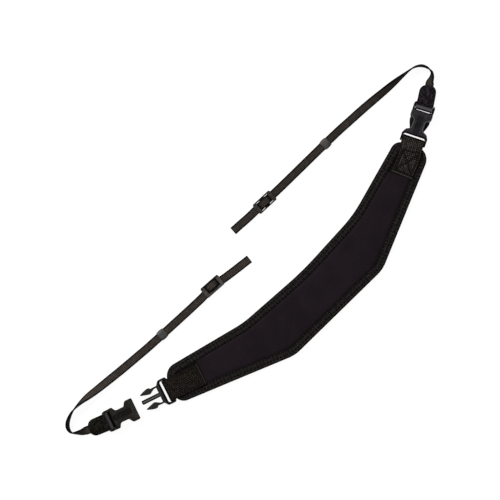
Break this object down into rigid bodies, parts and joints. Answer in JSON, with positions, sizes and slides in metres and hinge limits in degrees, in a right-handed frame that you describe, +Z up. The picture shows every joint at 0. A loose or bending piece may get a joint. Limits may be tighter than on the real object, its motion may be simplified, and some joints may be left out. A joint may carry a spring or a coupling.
{
  "type": "camera neck strap",
  "caption": "Camera neck strap lying flat: curved neoprene pad, quick-release buckles, thin webbing tails with sliders and keeper rings, one buckle open.",
  "frame": {"origin": "on the surface the strap lies on, below the middle of its bounding box", "axes": "+X runs along the pad towards the fastened buckle, +Y from the pad towards the two thin webbing tails, +Z up from the surface"},
  "size_m": [0.6297, 0.1686, 0.01],
  "materials": {
    "neoprene": "purplish black knitted face on foam",
    "stretch_binding": "black stretch tape with two rows of stitches",
    "wide_webbing": "coarse black webbing",
    "thin_webbing": "fine ribbed charcoal webbing",
    "grained_tab": "charcoal pebbled tab, stitched round its tip",
    "moulded_plastic": "satin moulded grey-black"
  },
  "bodies": {
    "strap": {"pad": "neoprene", "edge_binding": "stretch_binding", "left_wide_tab": "wide_webbing", "right_wide_tab": "wide_webbing", "left_prong_buckle": "moulded_plastic", "left_socket_buckle": "moulded_plastic", "right_socket_buckle": "moulded_plastic", "right_prong_buckle": "moulded_plastic", "left_connector_tab": "grained_tab", "right_connector_tab": "grained_tab", "left_webbing": "thin_webbing", "right_webbing": "thin_webbing", "left_slider": "moulded_plastic", "right_slider": "moulded_plastic"},
    "left_keeper_ring": {"left_keeper": "moulded_plastic"},
    "right_keeper_ring": {"right_keeper": "moulded_plastic"}
  },
  "joints": [
    {"name": "left_keeper_slide", "type": "slide", "parent": "strap", "child": "left_keeper_ring", "axis": [-0.999, 0.0452, 0], "range_m": [-0.053, 0.017]},
    {"name": "right_keeper_slide", "type": "slide", "parent": "strap", "child": "right_keeper_ring", "axis": [0.9999, -0.0147, 0], "range_m": [-0.072, 0.016]}
  ]
}
